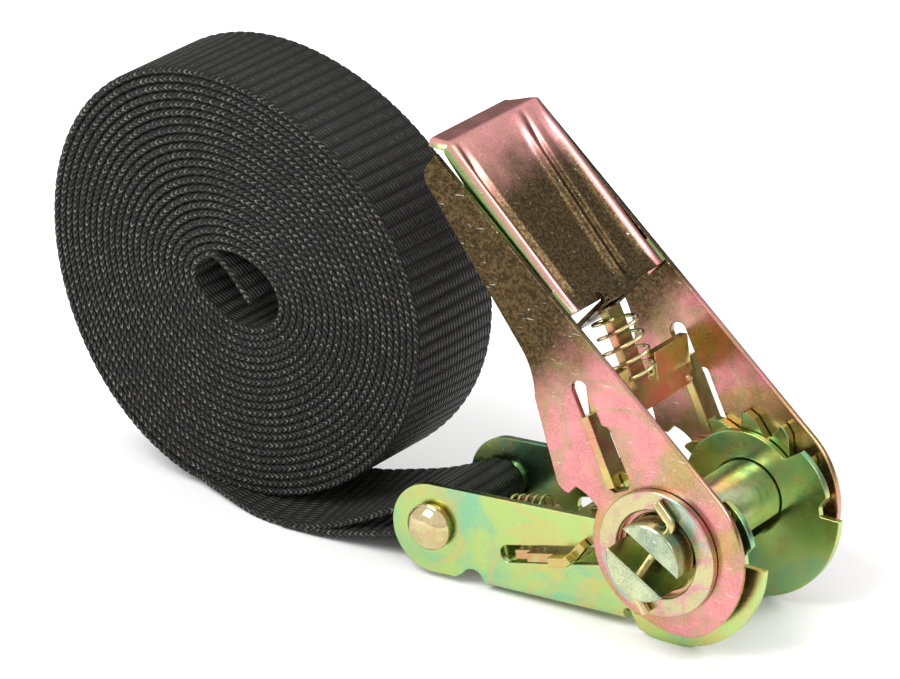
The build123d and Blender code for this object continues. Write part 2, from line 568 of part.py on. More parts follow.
with BuildPart() as lock_pawl:
    with BuildSketch(LOCK_FLAT):
        with Locations(((LOCK_BACK + LOCK_FRONT) / 2, 0)):
            Rectangle(LOCK_FRONT - LOCK_BACK, 2 * FRAME_INNER)
        for along, reach in LOCK_EARS:
            with Locations(((along + LOCK_FRONT) / 2, 0)):
                Rectangle(LOCK_FRONT - along, 2 * reach)
    extrude(amount=LOCK_THICKNESS / 2, both=True)
    # the teeth: only in the gears' planes, folded up towards the mandrel
    tip_turn = radians(LOCK_ANGLE + LOCK_TIP_ANGLE)
    tip_plane = Plane(
        origin=LOCK_FLAT.from_local_coords((LOCK_FRONT - 0.35, 0, 0)),
        x_dir=(cos(tip_turn), 0, sin(tip_turn)),
        z_dir=(-sin(tip_turn), 0, cos(tip_turn)),
    )
    with BuildSketch(tip_plane):
        for sign in (-1, 1):
            with Locations((LOCK_TIP_LENGTH / 2, sign * (LEG_INNER + GEAR_OUTER - 0.02) / 2)):
                Rectangle(LOCK_TIP_LENGTH, GEAR_OUTER - 0.02 - LEG_INNER)
            with Locations((LOCK_EAR_RISE / 2, sign * (LEG_INNER + LOCK_EAR_OUTER) / 2)):
                Rectangle(LOCK_EAR_RISE, LOCK_EAR_OUTER - LEG_INNER)
    extrude(amount=LOCK_THICKNESS / 2, both=True)
    # the tail that carries the spring, joggled up above the plate
    with BuildSketch(side_plane(-TAIL_WIDTH / 2, LOCK_ANGLE)):
        with BuildLine():
            rear = LOCK_REAR + LOCK_BACK
            low = LOCK_OFFSET - LOCK_THICKNESS / 2
            Polyline(
                (rear + 3.4, low),
                (rear + 3.4, low + LOCK_THICKNESS),
                (rear + 1.6, low + LOCK_THICKNESS),
                (rear, low + SEAT_RISE + LOCK_THICKNESS),
                (rear - LOCK_TAIL_LENGTH, low + SEAT_RISE + LOCK_THICKNESS),
                (rear - LOCK_TAIL_LENGTH, low + SEAT_RISE),
                (rear - 1.2, low + SEAT_RISE),
                (rear + 0.4, low),
                close=True,
            )
        make_face()
    extrude(amount=-TAIL_WIDTH)
    # the pull lip, folded up from the front edge between the frame plates
    with BuildSketch(side_plane(-LOCK_LIP_WIDTH / 2, LOCK_ANGLE)):
        with Locations((LOCK_REAR + LOCK_FRONT - LOCK_THICKNESS / 2, LOCK_OFFSET + LOCK_LIP_HEIGHT / 2 - 0.3)):
            Rectangle(LOCK_THICKNESS, LOCK_LIP_HEIGHT)
    extrude(amount=-LOCK_LIP_WIDTH)
save(lock_pawl.part, "lock_pawl")

# ------------------------------------------------------------------ springs


def coil(name, start, direction, length, radius, wire, turns):
    """A round-wire compression spring from a point along a direction, written as one solid."""
    with BuildPart() as spring:
        with BuildLine():
            helix = Helix(
                pitch=(length - wire) / turns,
                height=length - wire,
                radius=radius,
                center=start,
                direction=direction,
            )
        with BuildSketch(Plane(origin=helix @ 0, z_dir=helix % 0)):
            Circle(wire / 2)
        sweep(is_frenet=True)
    save(spring.part, name)


DRIVE_SPRING_LENGTH = 14.0
drive_start = PAWL_PLANE.from_local_coords((PAWL_BODY_HIGH + DRIVE_SPRING_WIRE / 2 + 0.3, 0, 0))
coil(
    "drive_pawl_spring", drive_start, PAWL_PLANE.x_dir,
    DRIVE_SPRING_LENGTH, DRIVE_SPRING_RADIUS, DRIVE_SPRING_WIRE, DRIVE_SPRING_TURNS,
)

LOCK_SPRING_START = LOCK_BACK - 0.9         # front end, clear of the tail's joggle
LOCK_SPRING_LENGTH = LOCK_SPRING_START - SEAT_ALONG - FRAME_THICKNESS / 2 - 0.15
lock_end = LOCK_FLAT.from_local_coords((LOCK_SPRING_START - LOCK_SPRING_WIRE / 2, 0, SEAT_RISE))
coil(
    "lock_pawl_spring", lock_end, LOCK_FLAT.x_dir * -1,
    LOCK_SPRING_LENGTH, LOCK_SPRING_RADIUS, LOCK_SPRING_WIRE, LOCK_SPRING_TURNS,
)

# ------------------------------------------------------------------ strap
yaw, tilt = radians(ROLL_YAW), radians(ROLL_TILT)
ROLL_AXIS = (sin(yaw) * cos(tilt), cos(yaw) * cos(tilt), sin(tilt))
ROLL_PLANE = Plane(origin=ROLL_CENTRE, x_dir=(cos(yaw), -sin(yaw), 0), z_dir=tuple(-c for c in ROLL_AXIS))

with BuildPart() as strap_roll:
    with BuildSketch(ROLL_PLANE):
        Ellipse(ROLL_RADIUS_X, ROLL_RADIUS_Z)
        with Locations(Location((0, 0, 0), (0, 0, -35))):
            Ellipse(ROLL_EYE[1] / 2, ROLL_EYE[0] / 2, mode=Mode.SUBTRACT)
    extrude(amount=WEBBING_WIDTH / 2, both=True)
save(strap_roll.part, "strap_roll")

FLOOR_Z = -LOBE_RADIUS
LOOP_INNER = SLEEVE_RADIUS + 0.1
LOOP_OUTER = LOOP_INNER + WEBBING_THICKNESS + 0.2
LEAD_END = ROLL_CENTRE[0] + 6.0
with BuildPart() as strap_lead:
    with BuildSketch(side_plane(-WEBBING_WIDTH / 2)):
        with BuildLine():
            # leaves the loop downhill, meets the floor and runs flat under the roll
            Polyline(
                (RIVET_X - 1.0, RIVET_Z + LOOP_OUTER - 0.3),
                (RIVET_X - 9.0, RIVET_Z - 0.6),
                (RIVET_X - 22.0, RIVET_Z - 6.4),
                (RIVET_X - 33.0, FLOOR_Z + WEBBING_THICKNESS + 0.3),
                (LEAD_END, FLOOR_Z + WEBBING_THICKNESS - 0.2),
                (LEAD_END, FLOOR_Z),
                (RIVET_X - 30.0, FLOOR_Z),
                (RIVET_X - 20.0, RIVET_Z - 10.4),
                (RIVET_X - 9.0, RIVET_Z - 5.6),
                (RIVET_X - 1.0, RIVET_Z - LOOP_OUTER + 0.3),
                close=True,
            )
        make_face()
        with Locations((RIVET_X, RIVET_Z)):
            Circle(LOOP_OUTER)
            Circle(LOOP_INNER, mode=Mode.SUBTRACT)
    extrude(amount=-WEBBING_WIDTH)
save(strap_lead.part, "strap_lead")
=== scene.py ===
"""Ratchet strap: builds the looks of a 25 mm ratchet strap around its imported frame.

Everything is in metres in the frame's own axes: the mandrel's axis is Y through the origin, the strap is
at -X and the floor is where the frame's lobes stand. Lengths that come in millimetres are multiplied by MM.
"""

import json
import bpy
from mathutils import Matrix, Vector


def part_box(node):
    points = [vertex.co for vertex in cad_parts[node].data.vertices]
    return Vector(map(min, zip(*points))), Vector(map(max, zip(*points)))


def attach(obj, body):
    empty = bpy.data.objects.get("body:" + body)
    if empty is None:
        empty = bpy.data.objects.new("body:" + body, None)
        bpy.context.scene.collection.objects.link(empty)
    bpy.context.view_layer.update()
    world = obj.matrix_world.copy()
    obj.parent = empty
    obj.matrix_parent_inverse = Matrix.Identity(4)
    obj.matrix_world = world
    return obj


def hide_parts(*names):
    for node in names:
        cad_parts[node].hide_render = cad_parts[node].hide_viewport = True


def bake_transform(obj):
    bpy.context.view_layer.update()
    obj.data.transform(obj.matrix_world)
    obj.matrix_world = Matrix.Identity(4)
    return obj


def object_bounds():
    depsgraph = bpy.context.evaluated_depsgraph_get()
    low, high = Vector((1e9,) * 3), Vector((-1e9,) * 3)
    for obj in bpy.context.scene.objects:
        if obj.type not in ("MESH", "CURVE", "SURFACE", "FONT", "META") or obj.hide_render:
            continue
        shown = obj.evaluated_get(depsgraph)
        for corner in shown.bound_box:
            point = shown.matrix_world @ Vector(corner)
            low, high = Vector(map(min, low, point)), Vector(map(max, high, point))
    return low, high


bl_info = {
    "name": "Ratchet Strap",
    "version": (1, 0, 0),
    "blender": (4, 5, 0),
    "location": "View3D > Sidebar > Ratchet Strap",
    "description": "Makes a webbing ratchet strap with chromated steel and a wound roll of ribbed webbing",
    "category": "Object",
}

import bpy
import numpy as np
from bpy.props import FloatProperty, FloatVectorProperty, IntProperty, PointerProperty
from bpy.types import Operator, Panel, PropertyGroup
from mathutils import Vector

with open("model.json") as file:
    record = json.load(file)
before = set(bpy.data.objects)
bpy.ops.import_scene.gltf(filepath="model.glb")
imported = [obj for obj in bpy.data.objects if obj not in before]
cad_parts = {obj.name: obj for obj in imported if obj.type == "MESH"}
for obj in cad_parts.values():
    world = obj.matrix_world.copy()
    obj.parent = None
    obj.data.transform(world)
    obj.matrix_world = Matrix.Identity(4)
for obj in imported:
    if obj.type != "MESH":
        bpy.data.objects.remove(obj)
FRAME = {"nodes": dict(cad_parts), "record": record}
CAD_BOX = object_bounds()
MM = 0.001
FLOOR_Z = CAD_BOX[0].z
AXIS_Y = np.array([0.0, 1.0, 0.0])


# ------------------------------------------------------------------ colours and numbers
def display(red, green, blue, alpha=1.0):
    """Turns a display colour of 0 to 255 into the linear colour that shaders use."""
    levels = np.array([red, green, blue]) / 255
    linear = np.where(levels > 0.04045, ((levels + 0.055) / 1.055) ** 2.4, levels / 12.92)
    return (*linear, alpha)


def smooth_step(values, low, high):
    """0 below low, 1 above high and the cubic 3t^2 - 2t^3 between."""
    t = np.clip((values - low) / (high - low), 0.0, 1.0)
    return t * t * (3 - 2 * t)


def unit(vectors):
    """Vectors divided by their lengths along the last axis."""
    return vectors / np.linalg.norm(vectors, axis=-1, keepdims=True)


def turned(angle):
    """Unit direction in X and Z at an angle in degrees, as a vector with no Y."""
    return np.array([np.cos(np.radians(angle)), 0.0, np.sin(np.radians(angle))])


# ------------------------------------------------------------------ meshes
def make_piece(name, points, faces, uv=None, smooth=True):
    """A mesh object at the origin from an n x 3 array of points and an array of faces; uv is per loop."""
    mesh = bpy.data.meshes.new(name)
    mesh.from_pydata(points.tolist(), [], faces.tolist())
    if uv is not None:
        layer = mesh.uv_layers.new(name="strap")
        layer.data.foreach_set("uv", uv.astype(np.float32).ravel())
    mesh.polygons.foreach_set("use_smooth", np.full(len(mesh.polygons), smooth))
    mesh.update()
    piece = bpy.data.objects.new(name, mesh)
    bpy.context.scene.collection.objects.link(piece)
    return piece


def grid_faces(rows, columns, closed_rows=False, closed_columns=False):
    """Quads of a grid of rows x columns points, joined round where a direction is closed."""
    i = np.arange(rows if closed_rows else rows - 1)
    j = np.arange(columns if closed_columns else columns - 1)
    i, j = (a.ravel() for a in np.meshgrid(i, j, indexing="ij"))
    i2, j2 = (i + 1) % rows, (j + 1) % columns
    return np.stack([i * columns + j, i2 * columns + j, i2 * columns + j2, i * columns + j2], axis=1)


def tube(name, path, radius, sides=12):
    """A round wire: a circle of the given radius carried along a path, both ends closed by a fan."""
    tangent = unit(np.gradient(path, axis=0))
    aside = unit(np.cross(tangent, np.array([0.31, 0.86, 0.41])))
    up = np.cross(tangent, aside)
    turn = np.linspace(0, 2 * np.pi, sides, endpoint=False)
    rings = path[:, None] + radius * (
        np.cos(turn)[None, :, None] * aside[:, None] + np.sin(turn)[None, :, None] * up[:, None]
    )
    count = len(path)
    points = np.vstack([rings.reshape(-1, 3), path[:1] - tangent[:1] * radius * 0.4, path[-1:] + tangent[-1:] * radius * 0.4])
    quads = grid_faces(count, sides, closed_columns=True)[:, ::-1]
    j = np.arange(sides)
    first = np.stack([np.full(sides, count * sides), j, (j + 1) % sides], axis=1)[:, ::-1]
    base = (count - 1) * sides
    last = np.stack([np.full(sides, count * sides + 1), base + j, base + (j + 1) % sides], axis=1)
    faces = quads.tolist() + first.tolist() + last.tolist()
    mesh = bpy.data.meshes.new(name)
    mesh.from_pydata(points.tolist(), [], faces)
    mesh.polygons.foreach_set("use_smooth", np.full(len(mesh.polygons), True))
    mesh.update()
    piece = bpy.data.objects.new(name, mesh)
    bpy.context.scene.collection.objects.link(piece)
    return piece


# ------------------------------------------------------------------ material nodes
class Nodes:
    """Adds nodes to one tree and links them, so that a material reads as a short list of steps."""

    def __init__(self, tree):
        self.tree = tree

    def add(self, kind, **settings):
        """A node of a kind with its plain settings."""
        node = self.tree.nodes.new(kind)
        for key, value in settings.items():
            setattr(node, key, value)
        return node

    def put(self, socket, value):
        """Links an output to a socket, or sets the socket's own value."""
        if isinstance(value, bpy.types.NodeSocket):
            self.tree.links.new(value, socket)
        else:
            socket.default_value = value

    def math(self, operation, first, second=0.0, third=0.0, clamp=False):
        """One Math node."""
        node = self.add("ShaderNodeMath", operation=operation, use_clamp=clamp)
        for socket, value in zip(node.inputs, (first, second, third)):
            self.put(socket, value)
        return node.outputs[0]

    def vector(self, operation, first, second=(0.0, 0.0, 0.0)):
        """One Vector Math node; a dot product puts out its value."""
        node = self.add("ShaderNodeVectorMath", operation=operation)
        self.put(node.inputs[0], first)
        self.put(node.inputs[1], second)
        return node.outputs["Value" if operation in ("DOT_PRODUCT", "LENGTH") else "Vector"]

    def noise(self, vector, scale, detail=2.0, roughness=0.5, distortion=0.0):
        """One Noise texture's value."""
        node = self.add("ShaderNodeTexNoise")
        self.put(node.inputs["Vector"], vector)
        for name, value in (("Scale", scale), ("Detail", detail), ("Roughness", roughness), ("Distortion", distortion)):
            self.put(node.inputs[name], value)
        return node.outputs["Fac"]

    def remap(self, value, low, high, start=0.0, end=1.0, smooth=True):
        """Maps low..high of a value onto start..end."""
        node = self.add("ShaderNodeMapRange", interpolation_type="SMOOTHSTEP" if smooth else "LINEAR")
        for socket, item in zip(node.inputs, (value, low, high, start, end)):
            self.put(socket, item)
        return node.outputs[0]

    def mix(self, factor, first, second, blend="MIX"):
        """One colour Mix node."""
        node = self.add("ShaderNodeMix", data_type="RGBA", blend_type=blend)
        self.put(node.inputs[0], factor)
        self.put(node.inputs[6], first)
        self.put(node.inputs[7], second)
        return node.outputs[2]

    def bump(self, height, strength, distance, normal=None):
        """One Bump node's normal."""
        node = self.add("ShaderNodeBump")
        self.put(node.inputs["Strength"], strength)
        self.put(node.inputs["Distance"], distance)
        self.put(node.inputs["Height"], height)
        if normal is not None:
            self.put(node.inputs["Normal"], normal)
        return node.outputs["Normal"]

    def group(self, name, **values):
        """An instance of a node group with its inputs set; underscores stand for spaces."""
        node = self.add("ShaderNodeGroup", node_tree=bpy.data.node_groups[name])
        for key, value in values.items():
            self.put(node.inputs[key.replace("_", " ")], value)
        return node


def new_group(name, inputs, outputs):
    """A shader node group with sockets given as (name, kind, default), and its two end nodes."""
    tree = bpy.data.node_groups.new(name, "ShaderNodeTree")
    for title, kind, default in inputs:
        socket = tree.interface.new_socket(title, in_out="INPUT", socket_type="NodeSocket" + kind)
        if default is not None:
            socket.default_value = default
    for title, kind in outputs:
        tree.interface.new_socket(title, in_out="OUTPUT", socket_type="NodeSocket" + kind)
    nodes = Nodes(tree)
    return nodes, nodes.add("NodeGroupInput").outputs, nodes.add("NodeGroupOutput").inputs


def new_material(name):
    """A material with a bare Principled shader; gives its nodes, the shader's inputs and Object coordinates."""
    material = bpy.data.materials.new(name)
    material.use_nodes = True
    tree = material.node_tree
    nodes = Nodes(tree)
    shader = tree.nodes["Principled BSDF"]
    place = nodes.add("ShaderNodeTexCoord").outputs["Object"]
    return material, nodes, shader.inputs, place


def build_groups():
    """The effects that several finishes share: chromate colour film and fine surface wear."""
    nodes, given, out = new_group(
        "chromate film",
        [("Vector", "Vector", None), ("Base", "Color", (0.6, 0.8, 0.3, 1)), ("Patch", "Color", (0.4, 0.7, 0.5, 1)),
         ("Tint", "Color", (0.8, 0.5, 0.3, 1)), ("Patch Scale", "Float", 60.0), ("Tint Amount", "Float", 0.4)],
        [("Color", "Color")],
    )
    swirl = nodes.noise(given["Vector"], given["Patch Scale"], 3.0, 0.55, 0.8)
    bands = nodes.noise(nodes.vector("ADD", given["Vector"], (0.37, 0.11, 0.53)), given["Patch Scale"], 2.0, 0.5, 1.6)
    color = nodes.mix(nodes.remap(swirl, 0.44, 0.6), given["Base"], given["Patch"])
    ring = nodes.math("SUBTRACT", 1.0, nodes.math("MULTIPLY", nodes.math("ABSOLUTE", nodes.math("SUBTRACT", bands, 0.5)), 14.0), clamp=True)
    color = nodes.mix(nodes.math("MULTIPLY", ring, given["Tint Amount"]), color, given["Tint"])
    nodes.put(out["Color"], color)

    nodes, given, out = new_group(
        "fine wear",
        [("Vector", "Vector", None), ("Color", "Color", (1, 1, 1, 1)), ("Speckle", "Float", 0.3),
         ("Scratches", "Float", 0.3), ("Polish", "Float", 0.25), ("Depth", "Float", 0.1)],
        [("Color", "Color"), ("Roughness", "Float"), ("Normal", "Vector")],
    )
    grain = nodes.noise(given["Vector"], 2600.0, 4.0, 0.7)
    cloud = nodes.noise(given["Vector"], 240.0, 3.0, 0.6)
    long_way = nodes.vector("MULTIPLY", nodes.vector("ADD", given["Vector"], (0.2, 0.1, 0.05)), (0.22, 1.0, 1.0))
    lines = nodes.noise(long_way, 1500.0, 3.0, 0.6, 0.6)
    scratch = nodes.math("MULTIPLY", nodes.remap(lines, 0.66, 0.74), given["Scratches"])
    dark = nodes.math("MULTIPLY", nodes.math("MULTIPLY", nodes.remap(grain, 0.35, 0.7, 1.0, 0.0), given["Speckle"]), nodes.remap(cloud, 0.3, 0.7, 0.5, 1.4))
    color = nodes.mix(dark, given["Color"], nodes.mix(1.0, given["Color"], (0.32, 0.3, 0.25, 1), "MULTIPLY"))
    color = nodes.mix(scratch, color, (0.9, 0.92, 0.86, 1))
    nodes.put(out["Color"], color)
    nodes.put(out["Roughness"], nodes.math("ADD", given["Polish"], nodes.math("MULTIPLY", nodes.math("SUBTRACT", cloud, 0.5), 0.25)))
    height = nodes.math("ADD", nodes.math("MULTIPLY", grain, 0.5), nodes.math("MULTIPLY", cloud, 0.8))
    edge = nodes.add("ShaderNodeBevel", samples=6)
    edge.inputs["Radius"].default_value = 0.00035
    nodes.put(out["Normal"], nodes.bump(height, given["Depth"], 0.00006, edge.outputs[0]))


def chromate(name, base, patch, tint, patch_scale=60.0, tint_amount=0.4, speckle=0.25, scratches=0.25,
             polish=0.24, depth=0.12, dark=None, dark_way=(0, 0, 1), dark_from=0.0, dark_to=0.01, wobble=0.012):
    """Zinc chromate: a metal whose colour film drifts between three colours, with an optional darker end.

    The darker end starts where the place along dark_way passes dark_from and is full at dark_to, in metres.
    """
    material, nodes, shader, place = new_material(name)
    color = nodes.group("chromate film", Vector=place, Base=base, Patch=patch, Tint=tint,
                        Patch_Scale=patch_scale, Tint_Amount=tint_amount).outputs["Color"]
    if dark is not None:
        along = nodes.vector("DOT_PRODUCT", place, dark_way)
        along = nodes.math("ADD", along, nodes.math("MULTIPLY", nodes.math("SUBTRACT", nodes.noise(place, 90.0, 4.0, 0.65), 0.5), wobble))
        color = nodes.mix(nodes.remap(along, dark_from, dark_to), color, dark)
    wear = nodes.group("fine wear", Vector=place, Color=color, Speckle=speckle, Scratches=scratches,
                       Polish=polish, Depth=depth)
    nodes.put(shader["Base Color"], wear.outputs["Color"])
    nodes.put(shader["Roughness"], wear.outputs["Roughness"])
    nodes.put(shader["Normal"], wear.outputs["Normal"])
    shader["Metallic"].default_value = 1.0
    return material


def webbing_material(name, settings):
    """Ribbed polyester webbing on its own map: u counts ribs, v is millimetres round the section; its colour carries
    painted shade in the valleys, painted highlights on the crests and painted glints.
    """
    material, nodes, shader, place = new_material(name)
    split = nodes.add("ShaderNodeSeparateXYZ")
    nodes.put(split.inputs[0], nodes.add("ShaderNodeUVMap", uv_map="strap").outputs[0])
    u, v = split.outputs[0], split.outputs[1]
    width, edge = settings.width / MM, settings.thickness / MM
    half_turn = width + edge
    # v runs 0..edge on one selvedge, then the outer face, the other selvedge and the inner face
    lap = nodes.math("MODULO", v, half_turn)
    on_edge = nodes.math("LESS_THAN", lap, edge)
    # faces: warp cords side by side, each twisted a little against the ribs
    cord = nodes.math("FRACT", nodes.math("ADD", nodes.math("DIVIDE", lap, 0.95), nodes.math("MULTIPLY", u, 0.5)))
    cord_height = nodes.math("SINE", nodes.math("MULTIPLY", cord, np.pi))
    rib_height = nodes.math("ABSOLUTE", nodes.math("SINE", nodes.math("MULTIPLY", u, np.pi)))
    face = nodes.math("MULTIPLY", nodes.math("POWER", cord_height, 0.7), nodes.math("POWER", rib_height, 0.6))
    # selvedges: two stitches to a rib, each a chevron across the edge
    across = nodes.math("ABSOLUTE", nodes.math("SUBTRACT", lap, edge * 0.5))
    stitch = nodes.math("FRACT", nodes.math("ADD", nodes.math("MULTIPLY", u, 2.0), nodes.math("MULTIPLY", across, 0.85)))
    stitch_height = nodes.math("POWER", nodes.math("SINE", nodes.math("MULTIPLY", stitch, np.pi)), 1.4)
    hump = nodes.math("SINE", nodes.math("MULTIPLY", nodes.math("DIVIDE", lap, edge), np.pi), clamp=True)
    selvedge = nodes.math("MULTIPLY", stitch_height, nodes.math("POWER", hump, 0.3))
    height = nodes.add("ShaderNodeMix", data_type="FLOAT")
    for socket, value in zip((height.inputs[0], height.inputs[2], height.inputs[3]), (on_edge, face, selvedge)):
        nodes.put(socket, value)
    level = height.outputs[0]
    fibre = nodes.noise(place, 3000.0, 3.0, 0.7)
    # painted glints: bright specks painted on the tops of the cords and stitches, most on the selvedges, stand in for
    # highlights
    glint_spots = nodes.noise(place, 900.0, 2.0, 0.6)
    painted_glint = nodes.math("MULTIPLY", nodes.math("POWER", level, 5.0), nodes.remap(glint_spots, 0.44, 0.66))
    painted_glint = nodes.math("MULTIPLY", painted_glint, nodes.math("ADD", nodes.math("MULTIPLY", on_edge, 0.7), 0.2))
    # painted shade and highlight: by height, the colour darkens into the valleys between cords and stitches and is
    # lighter on their crests
    color = nodes.mix(nodes.remap(level, 0.1, 0.9), settings.fibre_and_valley_shade_color, settings.crest_lit_color)
    # random dark fibres, in the same dark colour as the painted valley shade
    color = nodes.mix(nodes.remap(fibre, 0.3, 0.8, 0.0, 0.35), color, settings.fibre_and_valley_shade_color)
    color = nodes.mix(painted_glint, color, settings.painted_glint_color)
    nodes.put(shader["Base Color"], color)
    nodes.put(shader["Roughness"], nodes.remap(level, 0.0, 1.0, 0.85, 0.42))
    nodes.put(shader["Normal"], nodes.bump(level, 1.0, 0.0005))
    shader["Specular IOR Level"].default_value = 0.36
    return material


# ------------------------------------------------------------------ the webbing's path
ROLL_CENTRE = np.array([-114.3, 5.7, 27.8]) * MM
ROLL_YAW, ROLL_TILT = np.radians(4.3), np.radians(2.5)
ROLL_AXIS = np.array([np.sin(ROLL_YAW) * np.cos(ROLL_TILT), np.cos(ROLL_YAW) * np.cos(ROLL_TILT), np.sin(ROLL_TILT)])
ROLL_ACROSS = np.array([np.cos(ROLL_YAW), -np.sin(ROLL_YAW), 0.0])
ROLL_UP = np.cross(ROLL_ACROSS, ROLL_AXIS)
RIVET = np.array([-58.02, 0.0, -9.93]) * MM


LEAN_SAG = 0.62                 # how far the leaning roll's lower edge hangs below its middle line, in millimetres
LEAD_TWIST = 10.0               # degrees


def rim_radius(angle):
    """The roll's outline: a mean radius with a second and a third harmonic, egg-shaped, in millimetres."""
    return (
        48.05
        + 1.3 * np.cos(2 * angle + np.radians(30))
        + 0.95 * np.cos(3 * angle - np.radians(21))
        + 0.4 * np.cos(angle - np.radians(45))
    )


def eye_radius(angle):
    """The hole in the middle: an ellipse 21 by 13 mm leaning by 8 degrees, off the middle by 1.3 mm."""
    turn = angle + np.radians(8)
    ellipse = 10.7 * 6.6 / np.hypot(6.6 * np.cos(turn), 10.7 * np.sin(turn))
    return ellipse + 1.3 * np.cos(angle)


def smooth_line(points, step):
    """A Catmull-Rom curve through points, sampled about every step: each span is the usual cubic."""
    points = np.asarray(points, float)
    padded = np.vstack([2 * points[0] - points[1], points, 2 * points[-1] - points[-2]])
    spans = []
    for a, b, c, d in zip(padded, padded[1:], padded[2:], padded[3:]):
        t = np.linspace(0, 1, max(3, int(np.linalg.norm(c - b) / step) + 1), endpoint=False)[:, None]
        spans.append(0.5 * (2 * b + (c - a) * t + (2 * a - 5 * b + 4 * c - d) * t**2 + (3 * b - a - 3 * c + d) * t**3))
    return np.vstack(spans + [points[-1:]])


def even_steps(points, step):
    """A line resampled at even steps of its own length."""
    lengths = np.concatenate([[0], np.cumsum(np.linalg.norm(np.diff(points, axis=0), axis=1))])
    count = int(round(lengths[-1] / step)) + 1
    marks = np.linspace(0, lengths[-1], count)
    return np.stack([np.interp(marks, lengths, points[:, k]) for k in range(points.shape[1])], axis=1), lengths[-1]


class WEBBING_PG_settings(PropertyGroup):
    """The webbing's size, weave and colours, with the painted shade, highlights and glints of its weave."""

    width: FloatProperty(name="Width", description="Webbing width", default=25 * MM, unit="LENGTH")
    thickness: FloatProperty(name="Thickness", description="Thickness at a rib", default=1.8 * MM, unit="LENGTH")
    rib_pitch: FloatProperty(name="Rib pitch", description="From rib to rib along the webbing", default=2.9 * MM, unit="LENGTH")
    turns: IntProperty(name="Turns", description="Whole turns in the roll", default=23, min=3)
    # the valley colour is painted shade between the cords, also used for random dark fibres
    fibre_and_valley_shade_color: FloatVectorProperty(name="Valley", description="Colour between the cords", subtype="COLOR", size=4, default=display(2, 2, 2))
    # the crest colour is the yarn's own colour, lightened on the cords as a painted highlight
    crest_lit_color: FloatVectorProperty(name="Crest", description="Colour on the cords", subtype="COLOR", size=4, default=display(27, 27, 21))
    # the glint colour is a painted highlight on the tops of the filaments
    painted_glint_color: FloatVectorProperty(name="Glint", description="Colour of shiny filaments", subtype="COLOR", size=4, default=display(136, 136, 120))


def strap_path(settings):
    """The webbing's middle line from its free inner end to its sewn end, and its width axis at each point.

    The inner end hangs across the eye; each turn's radius goes evenly from the eye's to the rim's; the
    last turn leaves under the roll, passes over the anchor, goes round it and comes back under itself.
    """
    half = settings.thickness / MM / 2
    start, end = np.radians(150.0), np.radians(-100.0 + 360.0 * settings.turns)
    angle = np.arange(start, end, np.radians(1.0))
    whole = end - start - 2 * np.pi
    share = (angle - start) / whole
    radius = (eye_radius(angle) + half) * (1 - share) + (rim_radius(angle) - half) * share
    radius += 0.35 * smooth_step(angle, end - np.radians(60), end)
    roll = np.stack([radius * np.cos(angle), radius * np.sin(angle)], axis=1)
    free = smooth_line([(5.4, -2.3), (2.6, 0.8), (-0.6, 4.2), (-4.6, 6.6), tuple(roll[0]), tuple(roll[4])], 0.3)[:-4]
    local = np.vstack([free, roll[1:]])
    world = ROLL_CENTRE + MM * (local[:, :1] * ROLL_ACROSS + local[:, 1:] * ROLL_UP)
    # each turn lies on the one outside it, and the outermost on the lead, never lower than the floor allows
    outside = np.clip(np.floor((end - np.concatenate([np.full(len(free), start), angle[1:]])) / (2 * np.pi)), 0, None)
    lowest = FLOOR_Z + (half + LEAN_SAG + (outside + 0.0) * 2 * half * 0.96) * MM
    world[:, 2] = np.maximum(world[:, 2], lowest)

    # the lead, in X and Z: along the floor, over the sewn end, up to the anchor, round it and back
    floor = FLOOR_Z / MM + half + 0.3
    leave_z = world[-7, 2] / MM
    loop = 4.0
    rivet_x, rivet_z = RIVET[0] / MM, RIVET[2] / MM
    around = np.radians(np.arange(100, -105, -20.0))
    wrap = [(rivet_x + loop * np.cos(a), rivet_z + loop * np.sin(a)) for a in around]
    run = [(-119.5, leave_z - 0.95), (-112.0, floor + 1.2), (-104.0, floor + 1.5), (-97.0, floor + 2.3), (-89.0, -17.3),
           (-81.0, -14.7), (-73.0, -11.7), (-66.0, -8.6), (-61.5, rivet_z + loop - 0.5)]
    back = [(-65.0, -14.6), (-72.0, -16.6), (-80.0, -18.6), (-88.0, floor + 0.5), (-94.0, floor + 0.1), (-99.0, floor)]
    lead = smooth_line(run + wrap + back, 0.3)
    lead = np.stack([lead[:, 0], np.zeros(len(lead)), lead[:, 1]], axis=1) * MM
    leave = world[-7]
    lead[:, 1] = leave[1] - (lead[:, 0] - leave[0]) * np.sin(ROLL_YAW)
    points, length = even_steps(np.vstack([world[:-6], lead]), 0.1 * MM)

    # the roll stands a little askew, so the width axis and the sideways place ease into the lead's
    lengths = np.linspace(0, length, len(points))
    wound = length - np.linalg.norm(np.diff(lead, axis=0), axis=1).sum()
    ease = smooth_step(lengths, wound - 8 * MM, wound + 24 * MM)[:, None]
    # between the roll and the anchor the webbing is twisted, its far edge up
    twist = np.radians(LEAD_TWIST) * smooth_step(lengths, wound - 4 * MM, wound + 22 * MM)
    twist = twist * (1 - smooth_step(lengths, wound + 26 * MM, wound + 56 * MM))
    twisted = np.stack([np.zeros(len(points)), np.cos(twist), np.sin(twist)], axis=1)
    axis = unit(ROLL_AXIS * (1 - ease) + twisted * ease)
    points[:, 1] *= 1 - ease[:, 0]
    return points, axis, length


